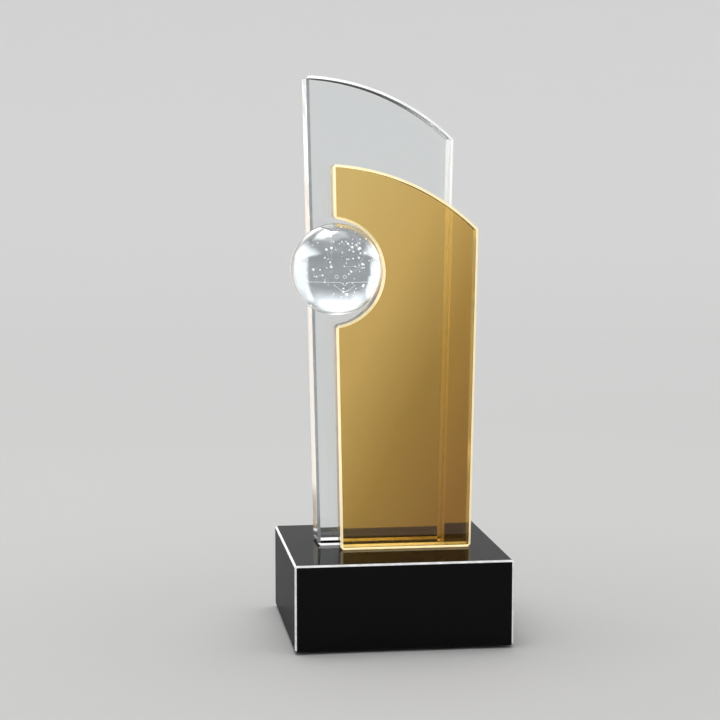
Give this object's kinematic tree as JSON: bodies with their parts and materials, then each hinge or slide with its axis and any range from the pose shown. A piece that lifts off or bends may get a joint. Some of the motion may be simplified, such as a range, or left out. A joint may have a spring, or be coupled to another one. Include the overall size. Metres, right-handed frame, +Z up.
{
  "type": "crystal award",
  "caption": "Free-standing crystal award: a tall clear plaque and a shorter amber plaque with falling arc tops and a clear ball in a round notch, on a black crystal block.",
  "frame": {"origin": "on the table, under the centre of the base block", "axes": "+Z up along the plaques, the award's front faces -Y, +X to the viewer's right"},
  "size_m": [0.096, 0.093, 0.2494],
  "materials": {
    "black_crystal": "polished",
    "clear_crystal": "polished",
    "amber_crystal": "polished",
    "ball_crystal": "polished",
    "adhesive": "clear",
    "foot_pad": "matt"
  },
  "bodies": {
    "root": {"base_block": "black_crystal", "foot_pad_front_left": "foot_pad", "foot_pad_front_right": "foot_pad", "foot_pad_rear_left": "foot_pad", "foot_pad_rear_right": "foot_pad", "rear_plaque": "clear_crystal", "front_plaque": "amber_crystal", "crystal_ball": "ball_crystal", "bond_rear_plaque_foot": "adhesive", "bond_front_plaque_foot": "adhesive", "bond_between_plaques": "adhesive", "bond_ball_seat": "adhesive"}
  },
  "joints": []
}
